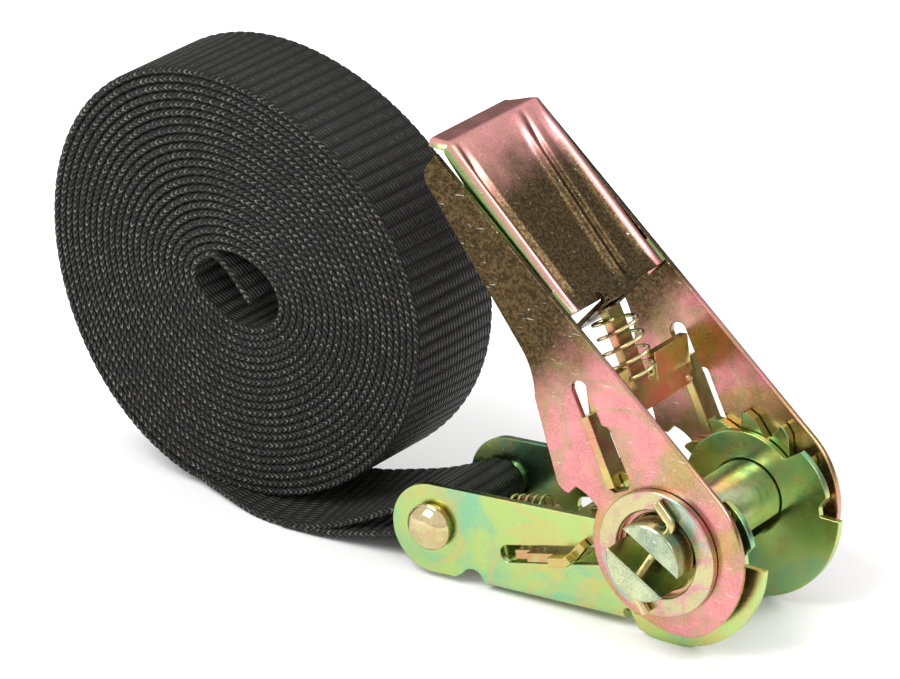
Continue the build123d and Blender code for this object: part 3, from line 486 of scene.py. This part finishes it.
def build_webbing(settings):
    """The strap as one ribbon: a flat section carried along strap_path, scalloped where each rib stands out.

    The half thickness is a base plus |sin(pi s / pitch)|, and the selvedge swells twice as often.
    """
    path, axis, length = strap_path(settings)
    ribs = int(round(length / settings.rib_pitch))
    steps = 6 * ribs + 1
    lengths = np.linspace(0, 1, len(path))
    marks = np.linspace(0, 1, steps)
    path = np.stack([np.interp(marks, lengths, path[:, k]) for k in range(3)], axis=1)
    axis = np.stack([np.interp(marks, lengths, axis[:, k]) for k in range(3)], axis=1)
    tangent = unit(np.gradient(path, axis=0))
    axis = unit(axis - tangent * np.sum(axis * tangent, axis=1, keepdims=True))
    out = np.cross(axis, tangent)
    rib = np.linspace(0, ribs, steps)
    half_width, half = settings.width / 2, settings.thickness / 2
    swell = np.abs(np.sin(np.pi * rib))
    flat = half * (0.80 + 0.18 * swell)
    side = half_width * (1 - 0.010 * (1 - np.abs(np.sin(2 * np.pi * rib))))
    # the section: across, and how thick there; starts low on the near selvedge and goes round
    across = np.array([-1, -1, -0.975, 0, 0.975, 1, 1, 0.975, 0, -0.975])
    thick = np.array([-0.5, 0.5, 1, 1, 1, 0.5, -0.5, -1, -1, -1])
    points = (
        path[:, None]
        + axis[:, None] * (side[:, None] * across)[:, :, None]
        + out[:, None] * (flat[:, None] * thick)[:, :, None]
    )
    columns = len(across)
    faces = grid_faces(steps, columns, closed_columns=True)
    width, edge = settings.width / MM, settings.thickness / MM
    around = np.array([0.25 * edge, 0.75 * edge, edge, edge + width / 2, edge + width,
                       1.25 * edge + width, 1.75 * edge + width, 2 * edge + width,
                       2 * edge + 1.5 * width, 2 * (edge + width), 2 * (edge + width) + 0.25 * edge])
    i, j = (a.ravel() for a in np.meshgrid(np.arange(steps - 1), np.arange(columns), indexing="ij"))
    uv = np.stack([
        np.stack([rib[i], around[j]], 1), np.stack([rib[i + 1], around[j]], 1),
        np.stack([rib[i + 1], around[j + 1]], 1), np.stack([rib[i], around[j + 1]], 1)], axis=1)
    flat_points = points.reshape(-1, 3)
    piece = make_piece("webbing", flat_points, faces, uv)
    close_ends(piece, steps, columns)
    return piece, length


def close_ends(piece, rows, columns):
    """Closes both ends of a swept section with one face each."""
    import bmesh

    mesh = bmesh.new()
    mesh.from_mesh(piece.data)
    mesh.verts.ensure_lookup_table()
    mesh.faces.new([mesh.verts[j] for j in range(columns)])
    mesh.faces.new([mesh.verts[(rows - 1) * columns + j] for j in reversed(range(columns))])
    bmesh.ops.recalc_face_normals(mesh, faces=mesh.faces)
    mesh.to_mesh(piece.data)
    mesh.free()


class STRAP_OT_webbing(Operator):
    """Makes the strap: the wound roll, its free inner end, the lead and the sewn loop, as one ribbon"""

    bl_idname = "strap.webbing"
    bl_label = "Webbing"

    def execute(self, context):
        settings = context.scene.webbing
        piece, length = build_webbing(settings)
        piece.data.materials.append(webbing_material("ribbed webbing", settings))
        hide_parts("strap_roll", "strap_lead")
        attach(piece, "strap")
        print("webbing length", round(length, 3), "triangles", 2 * len(piece.data.polygons))
        return {"FINISHED"}


# ------------------------------------------------------------------ carried-over metal
class METAL_PG_settings(PropertyGroup):
    """Colours of the chromated steel, and of the painted dark reflection on the handle."""

    frame_color: FloatVectorProperty(name="Frame", description="Frame plates' main film colour", subtype="COLOR", size=4, default=display(180, 204, 124))
    handle_color: FloatVectorProperty(name="Handle", description="Handle's main film colour", subtype="COLOR", size=4, default=display(226, 150, 150))
    # painted dark reflection: the colour of the handle's dark end, standing in for a dark surrounding mirrored in the
    # steel
    dark_reflection_color: FloatVectorProperty(name="Shade", description="Dark end of the handle", subtype="COLOR", size=4, default=display(60, 49, 31))


class STRAP_OT_metal(Operator):
    """Gives every carried-over steel piece its chromate finish"""

    bl_idname = "strap.metal"
    bl_label = "Steel finishes"

    def execute(self, context):
        settings = context.scene.metal
        frame_plate = chromate("frame chromate", settings.frame_color, display(142, 196, 152), display(216, 182, 114),
                               patch_scale=45, tint_amount=0.45, speckle=0.06)
        gear_plate = chromate("gear chromate", display(176, 180, 104), display(150, 186, 122), display(206, 156, 100),
                              patch_scale=70, speckle=0.45)
        pawl_plate = chromate("pawl chromate", display(208, 184, 116), display(214, 150, 120), display(150, 196, 110),
                              patch_scale=80)
        washer = chromate("washer chromate", display(202, 192, 144), display(160, 186, 176), display(214, 148, 158),
                          patch_scale=80, tint_amount=0.8)
        rivet = chromate("rivet chromate", display(226, 206, 160), display(206, 196, 140), display(214, 160, 140),
                         patch_scale=90, polish=0.12)
        spindle = chromate("mandrel zinc", display(196, 206, 168), display(160, 178, 156), display(214, 220, 160),
                           patch_scale=90, scratches=0.7, speckle=0.4)
        spring = chromate("coil zinc", display(226, 206, 150), display(206, 214, 150), display(230, 180, 150),
                          patch_scale=120)
        slots = {"frame_plate": frame_plate, "handle_plate": frame_plate, "gear_plate": gear_plate, "pawl_plate": pawl_plate,
                 "washer": washer, "rivet": rivet, "spindle": spindle, "spring_wire": spring}
        for row in FRAME["record"]["subparts"]:
            node = FRAME["nodes"][row["node"]]
            if row["material_slot"] in slots:
                node.data.materials.clear()
                node.data.materials.append(slots[row["material_slot"]])
        return {"FINISHED"}


# ------------------------------------------------------------------ springs
PAWL_WAY = turned(115.3)
LOCK_WAY = turned(12.7)


def spring_path(start, way, length, radius, turns):
    """A helix from start along way: radius r, the ends flattened by easing the climb over half a turn."""
    turn = np.linspace(0, 2 * np.pi * turns, int(turns * 36) + 1)
    climb = np.interp(turn, [0, 2.4, 2 * np.pi * turns - 2.4, 2 * np.pi * turns], [0, 0.045, 0.955, 1]) * length
    aside = np.cross(AXIS_Y, way)
    return start + climb[:, None] * way + radius * (np.cos(turn)[:, None] * AXIS_Y - np.sin(turn)[:, None] * aside)


class SPRING_PG_settings(PropertyGroup):
    """Sizes of the two compression springs."""

    drive_radius: FloatProperty(name="Drive radius", description="Drive pawl spring, to the wire's middle", default=4.6 * MM, unit="LENGTH")
    drive_wire: FloatProperty(name="Drive wire", description="Wire radius of the drive pawl spring", default=0.4 * MM, unit="LENGTH")
    lock_radius: FloatProperty(name="Lock radius", description="Lock pawl spring, to the wire's middle", default=3.6 * MM, unit="LENGTH")
    lock_wire: FloatProperty(name="Lock wire", description="Wire radius of the lock pawl spring", default=0.34 * MM, unit="LENGTH")


class STRAP_OT_springs(Operator):
    """Winds the two springs that press the pawls home"""

    bl_idname = "strap.springs"
    bl_label = "Springs"

    def execute(self, context):
        settings = context.scene.springs
        wire = chromate("spring wire", display(226, 206, 150), display(206, 214, 150), display(230, 180, 150), patch_scale=120)
        offset = PAWL_WAY[[2, 1, 0]] * np.array([-5.2, 0.0, 5.2]) * MM
        first, last = offset + PAWL_WAY * 31.5 * MM, offset + PAWL_WAY * 45.6 * MM
        drive = tube("drive_spring", spring_path(first, PAWL_WAY, 14.1 * MM, settings.drive_radius, 4.6), settings.drive_wire)
        low, high = (np.array(corner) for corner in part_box("lock_pawl_spring"))
        middle = (low + high) / 2
        span = 9.0 * MM
        lock = tube("lock_spring", spring_path(middle - LOCK_WAY * span / 2, LOCK_WAY, span, settings.lock_radius, 5), settings.lock_wire)
        for piece, node, body, pawl, start, end in (
            (drive, "drive_pawl_spring", "handle", "drive_pawl", last, first),
            (lock, "lock_pawl_spring", "frame", "lock_pawl", middle - LOCK_WAY * span / 2, middle + LOCK_WAY * span / 2),
        ):
            piece.data.materials.append(wire)
            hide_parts(node)
            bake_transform(piece)
        return {"FINISHED"}


# ------------------------------------------------------------------ handle
HANDLE_ANGLE = 138.6
HANDLE_WAY = turned(HANDLE_ANGLE)
HANDLE_UP = turned(HANDLE_ANGLE + 90)
HANDLE_INNER, HANDLE_OUTER = 18.2, 19.7


def arc_through(first, middle, last, count=10):
    """Points of the circle through three points, from the first to just before the last."""
    (ax, ay), (bx, by), (cx, cy) = first, middle, last
    d = 2 * (ax * (by - cy) + bx * (cy - ay) + cx * (ay - by))
    ux = ((ax**2 + ay**2) * (by - cy) + (bx**2 + by**2) * (cy - ay) + (cx**2 + cy**2) * (ay - by)) / d
    uy = ((ax**2 + ay**2) * (cx - bx) + (bx**2 + by**2) * (ax - cx) + (cx**2 + cy**2) * (bx - ax)) / d
    angles = np.unwrap(np.arctan2([ay - uy, by - uy, cy - uy], [ax - ux, bx - ux, cx - ux]))
    turn = np.interp(np.linspace(0, 2, 2 * count, endpoint=False), [0, 1, 2], angles)
    radius = np.hypot(ax - ux, ay - uy)
    return [(ux + radius * np.cos(t), uy + radius * np.sin(t)) for t in turn]


def ring(radius, angle):
    """A point at a radius and an angle in degrees."""
    return radius * np.cos(np.radians(angle)), radius * np.sin(np.radians(angle))


def plate_outline():
    """The handle plate's outline in millimetres: x along its back edge, y towards its front."""
    back, cam = -19.1, 16.1
    points = [(0, back), (89.6, back)]
    points += arc_through((89.5, -16.6), (88.5, -13.9), (85.6, -12.6))
    points += arc_through((48.5, -4.9), (44.0, -2.9), (39.9, 0.6))
    points += arc_through((25.6, 9.0), (23.4, 9.7), (21.2, 8.9))
    points += arc_through((21.4, 6.6), (18.4, 5.6), ring(cam, 20.4))
    points += arc_through(ring(cam, 20.4), ring(cam, 69), ring(cam, 117.4), 20)
    points += arc_through(ring(cam, 117.4), ring(17.5, 138), ring(-back, 158.4))
    points += arc_through(ring(-back, 158.4), ring(-back, 214), (0, back), 20)
    return points


def slot_outline():
    """The stepped slot for the drive pawl's ears, drawn along the pawl's way and turned into the plate's axes."""
    edge, mid = 6.6, 4.7
    points = [(13.9, 5.6), (14.9, edge), (36.1, edge)]
    points += arc_through((36.1, edge), (38.0, mid), (36.1, 2.8), 8)
    points += arc_through((28.6, 2.8), (27.7, 2.55), (27.4, 2.0), 4)
    points += arc_through((27.4, 2.0), (27.0, 1.4), (26.2, 1.2), 4)
    points += [(14.9, 1.2), (13.9, 2.2)]
    turn = np.radians(115.3 - HANDLE_ANGLE)
    return [(x * np.cos(turn) - y * np.sin(turn), x * np.sin(turn) + y * np.cos(turn)) for x, y in points]


def flat_plate(name, outlines, thickness, rounding):
    """A flat sheet cut to outlines (the first outside, the rest holes) with its edges rounded off."""
    curve = bpy.data.curves.new(name, "CURVE")
    curve.dimensions, curve.fill_mode = "2D", "BOTH"
    curve.extrude, curve.bevel_depth, curve.bevel_resolution = thickness / 2 - rounding, rounding, 2
    curve.offset = -rounding
    for outline in outlines:
        spline = curve.splines.new("POLY")
        spline.points.add(len(outline) - 1)
        for point, (x, y) in zip(spline.points, outline):
            point.co = (x, y, 0, 1)
        spline.use_cyclic_u = True
    holder = bpy.data.objects.new(name, curve)
    bpy.context.scene.collection.objects.link(holder)
    depsgraph = bpy.context.evaluated_depsgraph_get()
    mesh = bpy.data.meshes.new_from_object(holder.evaluated_get(depsgraph))
    bpy.data.objects.remove(holder)
    bpy.data.curves.remove(curve)
    points = np.empty(3 * len(mesh.vertices))
    mesh.vertices.foreach_get("co", points)
    return mesh, points.reshape(-1, 3)


def handle_place(u, v, y):
    """Handle coordinates in millimetres to places in metres."""
    u, v, y = (np.asarray(value, float)[..., None] for value in (u, v, y))
    return (u * HANDLE_WAY + v * HANDLE_UP + y * AXIS_Y) * MM


def grip_section(rise, flange, shift):
    """The grip's outer line across its width: millimetres across and above the web, as two arrays.

    A bead runs along each fold (its crease rise deep), the web between lies 0.6 rise lower and carries a
    ridge g = exp(-(x/1.2)^2) with a groove beside it, x counted from shift.
    """
    side = np.array([[-17.6, -flange], [-17.6, -0.6 * flange - 0.5], [-17.5, -1.25], [-17.2, -0.65], [-16.7, -0.22],
                     [-16.0, 0.0], [-15.3, -0.12 * rise], [-14.8, -0.5 * rise], [-14.5, -1.0 * rise], [-14.0, -1.05 * rise],
                     [-13.2, -0.8 * rise]])
    side[:5, 1] = np.maximum(side[:5, 1], -flange)
    web = np.arange(-12.4, 12.5, 0.4)
    level = -0.6 * rise + 0.55 * rise * np.exp(-(((web - shift) / 1.2) ** 2)) - 0.5 * rise * np.exp(-(((web - shift - 2.0) / 0.7) ** 2))
    far = side[::-1] * (-1, 1)
    far[:4, 1] = np.array([-0.5, -0.4, -0.3, -0.15]) * rise
    return np.concatenate([side[:, 0], web, far[:, 0]]), np.concatenate([side[:, 1], level, far[:, 1]])


def build_grip():
    """The grip: sections carried up the back edges, with a lip folded over at the free end."""
    rows = []
    lip_way = np.array([0.76, 0.65])
    for u in np.concatenate([np.arange(47.3, 88.1, 1.2), [88.8, 89.5, 90.0, 90.6, 91.1, 92.0, 93.0, 93.5]]):
        rise = 0.95 * smooth_step(u, 46.0, 52.0) * (1 - smooth_step(u, 79.0, 90.0))
        flange = np.interp(u, [47.3, 70, 88, 90.2, 94], [4.6, 3.6, 1.9, 1.45, 1.45])
        across, level = grip_section(rise, flange, 4.3 + 0.1 * (u - 57.5))
        inner = np.stack([across, level], 1)
        way = unit(np.gradient(inner, axis=0))
        inner = inner - 1.35 * np.stack([-way[:, 1], way[:, 0]], 1)
        top = 19.3 + 2.2 * (min(u, 90.0) - 47.3) / 42.7
        along, drop = u, 0.0
        if u > 89.8:
            reach = (u - 89.8) * 1.27
            along, drop = 89.8 + reach * lip_way[0], reach * lip_way[1]
            corner = 1 - 0.30 * smooth_step(u, 90.0, 93.5)
            across = np.where(across > 0, across * corner, across * (1 - 0.03 * smooth_step(u, 92.4, 93.5)))
            inner[:, 0] = np.where(inner[:, 0] > 0, inner[:, 0] * corner, inner[:, 0])
        lean = np.clip((u - 89.2) / 1.4, 0, 1)
        line = np.concatenate([np.stack([across, level], 1), inner[::-1]])
        u_line = along + (line[:, 1] * lean * 0.65)
        v_line = -(top - drop + line[:, 1] * (1 - 0.3 * lean))
        rows.append(handle_place(u_line, v_line, line[:, 0]))
    points = np.stack(rows)
    count, columns = points.shape[:2]
    half = columns // 2
    faces = grid_faces(count, columns, closed_columns=True).tolist()
    for row in (0, count - 1):
        faces += [[row * columns + j, row * columns + j + 1, row * columns + columns - 2 - j, row * columns + columns - 1 - j]
                  for j in range(half - 1)]
    return points.reshape(-1, 3), faces


def outward(mesh):
    """Turns every face of a mesh to the outside."""
    import bmesh

    work = bmesh.new()
    work.from_mesh(mesh)
    bmesh.ops.remove_doubles(work, verts=work.verts, dist=1e-6)
    bmesh.ops.recalc_face_normals(work, faces=work.faces)
    work.to_mesh(mesh)
    work.free()


def slab(u_low, u_high, v_low, v_high, y_low, y_high):
    """A plain block in handle coordinates, as points and faces."""
    corners = [(u, v, y) for u in (u_low, u_high) for v in (v_low, v_high) for y in (y_low, y_high)]
    points = handle_place(*np.array(corners).T)
    return points, [[0, 1, 3, 2], [4, 6, 7, 5], [0, 4, 5, 1], [2, 3, 7, 6], [0, 2, 6, 4], [1, 5, 7, 3]]


def hairpin():
    """The narrow strip beside the spring seat, bent back on itself like a hairpin, as points and faces."""
    line = smooth_line([(50.8, -10.6), (49.9, -14.5), (49.0, -18.2), (48.4, -19.2), (47.5, -19.6), (46.7, -19.2),
                        (46.4, -18.0), (46.35, -14.0), (46.3, -10.1)], 0.4)
    way = unit(np.gradient(line, axis=0))
    aside = np.stack([-way[:, 1], way[:, 0]], 1) * 0.42
    rows = [handle_place(*(line + side * aside).T, np.full(len(line), y)) for side, y in ((1, -7.0), (-1, -7.0), (-1, -5.4), (1, -5.4))]
    points = np.stack(rows, axis=1)
    faces = grid_faces(len(line), 4, closed_columns=True).tolist()
    last = 4 * (len(line) - 1)
    return points.reshape(-1, 3), faces + [[0, 1, 2, 3], [last + 3, last + 2, last + 1, last]]


def handle_material(name, settings, grip):
    """Chromated steel: pink below, going into a speckled painted dark reflection further along; the grip is pink at its
    free end and on its folds.
    """
    material, nodes, shader, place = new_material(name)
    base = nodes.group("chromate film", Vector=place, Base=settings.handle_color, Patch=display(206, 160, 116),
                       Tint=display(134, 164, 96), Patch_Scale=42.0, Tint_Amount=0.4).outputs["Color"]
    along = nodes.vector("DOT_PRODUCT", place, tuple(HANDLE_WAY))
    cloud = nodes.noise(place, 95.0, 4.0, 0.65)
    along = nodes.math("ADD", along, nodes.math("MULTIPLY", nodes.math("SUBTRACT", cloud, 0.5), 0.014))
    # painted dark reflection: further along the handle the colour turns into speckled dark brown
    dark = nodes.remap(along, 0.032, 0.048)
    grain = nodes.remap(nodes.noise(place, 1500.0, 3.0, 0.7), 0.38, 0.66)
    painted_dark_reflection = nodes.mix(grain, settings.dark_reflection_color, display(104, 86, 58))
    if grip:
        base = nodes.mix(0.65, base, display(250, 176, 176))
        # on the grip the painted dark reflection covers the web and fades out towards the free end, leaving the folds
        # pink
        dark = nodes.remap(along, 0.073, 0.089, 1.0, 0.0)
        split = nodes.add("ShaderNodeSeparateXYZ")
        nodes.put(split.inputs[0], place)
        aside = nodes.math("ABSOLUTE", split.outputs[1])
        on_web = nodes.remap(aside, 0.0139, 0.0150, 1.0, 0.0)
        dark = nodes.math("MULTIPLY", dark, on_web)
        rim = nodes.math("MULTIPLY", nodes.remap(aside, 0.0168, 0.0175), 0.85)
        base = nodes.mix(rim, base, display(120, 176, 96))
    color = nodes.mix(dark, base, painted_dark_reflection)
    wear = nodes.group("fine wear", Vector=place, Color=color, Speckle=0.35, Scratches=0.45, Polish=0.27, Depth=0.2)
    nodes.put(shader["Base Color"], wear.outputs["Color"])
    nodes.put(shader["Roughness"], wear.outputs["Roughness"])
    nodes.put(shader["Normal"], wear.outputs["Normal"])
    shader["Metallic"].default_value = 1.0
    return material


class STRAP_OT_handle(Operator):
    """Makes the handle: two slotted side plates, the beaded grip between them and the drive spring's seat"""

    bl_idname = "strap.handle"
    bl_label = "Handle"

    def execute(self, context):
        settings = context.scene.metal
        bore = [ring(8.3, angle) for angle in range(0, 360, 6)]
        outlines = [plate_outline(), bore, slot_outline()]
        middle = (HANDLE_INNER + HANDLE_OUTER) / 2
        for side, sign in (("near", -1), ("far", 1)):
            mesh, points = flat_plate("handle_plate_" + side, outlines, HANDLE_OUTER - HANDLE_INNER, 0.22)
            places = handle_place(points[:, 0], points[:, 1], sign * middle - points[:, 2])
            mesh.vertices.foreach_set("co", places.ravel())
            outward(mesh)
            plate = bpy.data.objects.new("handle_plate_" + side, mesh)
            context.scene.collection.objects.link(plate)
            mesh.materials.clear()
            mesh.materials.append(handle_material("handle plate " + side, settings, False))
            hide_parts("handle")
            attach(plate, "handle")
        points, faces = build_grip()
        blocks = [slab(47.5, 53.2, -19.0, -16.4, sign * 16.3, sign * 18.5) for sign in (-1, 1)]
        # the spring seat, with a window that the drive pawl's tongue runs through
        blocks += [slab(45.9, 47.2, low, high, left, right) for low, high, left, right in (
            (-18.6, -17.0, -5.2, 6.3), (-12.0, -8.1, -5.2, 6.3), (-17.0, -12.0, -5.2, -3.1), (-17.0, -12.0, 3.1, 6.3))]
        blocks += [slab(46.0, 49.0, -19.3, -17.9, -5.2, 6.3), hairpin()]
        for block, block_faces in blocks:
            faces += [[index + len(points) for index in face] for face in block_faces]
            points = np.vstack([points, block])
        mesh = bpy.data.meshes.new("handle_grip")
        mesh.from_pydata(points.tolist(), [], faces)
        outward(mesh)
        mesh.polygons.foreach_set("use_smooth", np.full(len(mesh.polygons), True))
        mesh.set_sharp_from_angle(angle=np.radians(40))
        grip = bpy.data.objects.new("handle_grip", mesh)
        context.scene.collection.objects.link(grip)
        mesh.materials.append(handle_material("handle grip", settings, True))
        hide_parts("handle")
        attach(grip, "handle")
        return {"FINISHED"}


# ------------------------------------------------------------------ stage
class STAGE_PG_settings(PropertyGroup):
    """Floor, light and camera."""

    sky_strength: FloatProperty(name="Sky", description="Strength of the surrounding light", default=1.0)
    key_power: FloatProperty(name="Key", description="Power of the large soft light", default=11.0, unit="POWER")
    lens: FloatProperty(name="Lens", description="Focal length on a 36 mm sensor, in millimetres", default=236.3)


def area_light(name, place, target, size, power, color=(1, 1, 1)):
    """A square soft light that faces a target."""
    data = bpy.data.lights.new(name, "AREA")
    data.shape, data.size, data.energy, data.color = "SQUARE", size, power, color
    light = bpy.data.objects.new(name, data)
    light.location = place
    light.rotation_euler = (Vector(target) - Vector(place)).to_track_quat("-Z", "Y").to_euler()
    bpy.context.scene.collection.objects.link(light)
    return light


class STRAP_OT_stage(Operator):
    """Makes the floor, the soft lights, the sky and the camera"""

    bl_idname = "strap.stage"
    bl_label = "Stage"

    def execute(self, context):
        settings = context.scene.stage
        size = 3.0
        corners = np.array([(-size, -size, FLOOR_Z), (size, -size, FLOOR_Z), (size, size, FLOOR_Z), (-size, size, FLOOR_Z)])
        floor = make_piece("floor", corners, np.array([[0, 1, 2, 3]]), smooth=False)
        material, nodes, shader, place = new_material("pale floor")
        tone = nodes.remap(nodes.noise(place, 8.0), 0.3, 0.7, 0.0, 1.0)
        nodes.put(shader["Base Color"], nodes.mix(tone, (0.93, 0.93, 0.93, 1), (0.95, 0.95, 0.95, 1)))
        shader["Roughness"].default_value = 0.9
        floor.data.materials.append(material)

        context.scene.view_settings.view_transform = "Standard"
        world = bpy.data.worlds.new("studio")
        context.scene.world = world
        world.use_nodes = True
        tree = world.node_tree
        nodes = Nodes(tree)
        sky = tree.nodes["Background"]
        direction = nodes.add("ShaderNodeSeparateXYZ")
        nodes.put(direction.inputs[0], nodes.add("ShaderNodeTexCoord").outputs["Generated"])
        # bright all round but for a dark card low behind the ratchet, which the tops of the plates mirror
        rise = nodes.remap(direction.outputs[2], 0.36, 0.62)
        behind = nodes.remap(direction.outputs[1], 0.15, 0.5)
        card = nodes.math("MULTIPLY", behind, nodes.math("SUBTRACT", 1.0, rise))
        nodes.put(sky.inputs["Color"], nodes.mix(card, (1.0, 1.0, 1.0, 1), (0.10, 0.10, 0.08, 1)))
        sky.inputs["Strength"].default_value = settings.sky_strength

        target = (-0.06, 0.0, 0.02)
        area_light("key light", (-0.35, -0.75, 0.95), target, 0.7, settings.key_power)
        area_light("rim light", (0.75, 0.55, 0.7), target, 0.5, settings.key_power * 0.5)

        camera_data = bpy.data.cameras.new("camera")
        camera_data.lens = settings.lens
        camera_data.sensor_width = 36.0
        camera_data.clip_start, camera_data.clip_end = 0.05, 20.0
        camera = bpy.data.objects.new("camera", camera_data)
        camera.location = (0.56588, -0.94440, 0.48538)
        aim = Vector((-0.063957, 0.0, 0.024901))
        camera.rotation_euler = (aim - camera.location).to_track_quat("-Z", "Y").to_euler()
        context.scene.collection.objects.link(camera)
        context.scene.camera = camera
        return {"FINISHED"}


class STRAP_PT_panel(Panel):
    """Lists the strap's makers in the sidebar"""

    bl_label = "Ratchet Strap"
    bl_space_type = "VIEW_3D"
    bl_region_type = "UI"
    bl_category = "Ratchet Strap"

    def draw(self, context):
        for operator in OPERATORS:
            self.layout.operator(operator.bl_idname)


SETTINGS = (
    ("webbing", WEBBING_PG_settings),
    ("metal", METAL_PG_settings),
    ("springs", SPRING_PG_settings),
    ("stage", STAGE_PG_settings),
)
OPERATORS = (STRAP_OT_metal, STRAP_OT_webbing, STRAP_OT_springs, STRAP_OT_handle, STRAP_OT_stage)


def register():
    for name, group in SETTINGS:
        bpy.utils.register_class(group)
        setattr(bpy.types.Scene, name, PointerProperty(type=group))
    for operator in OPERATORS:
        bpy.utils.register_class(operator)
    bpy.utils.register_class(STRAP_PT_panel)


def unregister():
    bpy.utils.unregister_class(STRAP_PT_panel)
    for operator in reversed(OPERATORS):
        bpy.utils.unregister_class(operator)
    for name, group in reversed(SETTINGS):
        delattr(bpy.types.Scene, name)
        bpy.utils.unregister_class(group)


def main():
    """Registers the add-on and makes every piece in order; the webbing writes its length and triangle count."""
    register()
    build_groups()
    for operator in OPERATORS:
        family, name = operator.bl_idname.split(".")
        getattr(getattr(bpy.ops, family), name)()


if __name__ == "__main__":
    main()
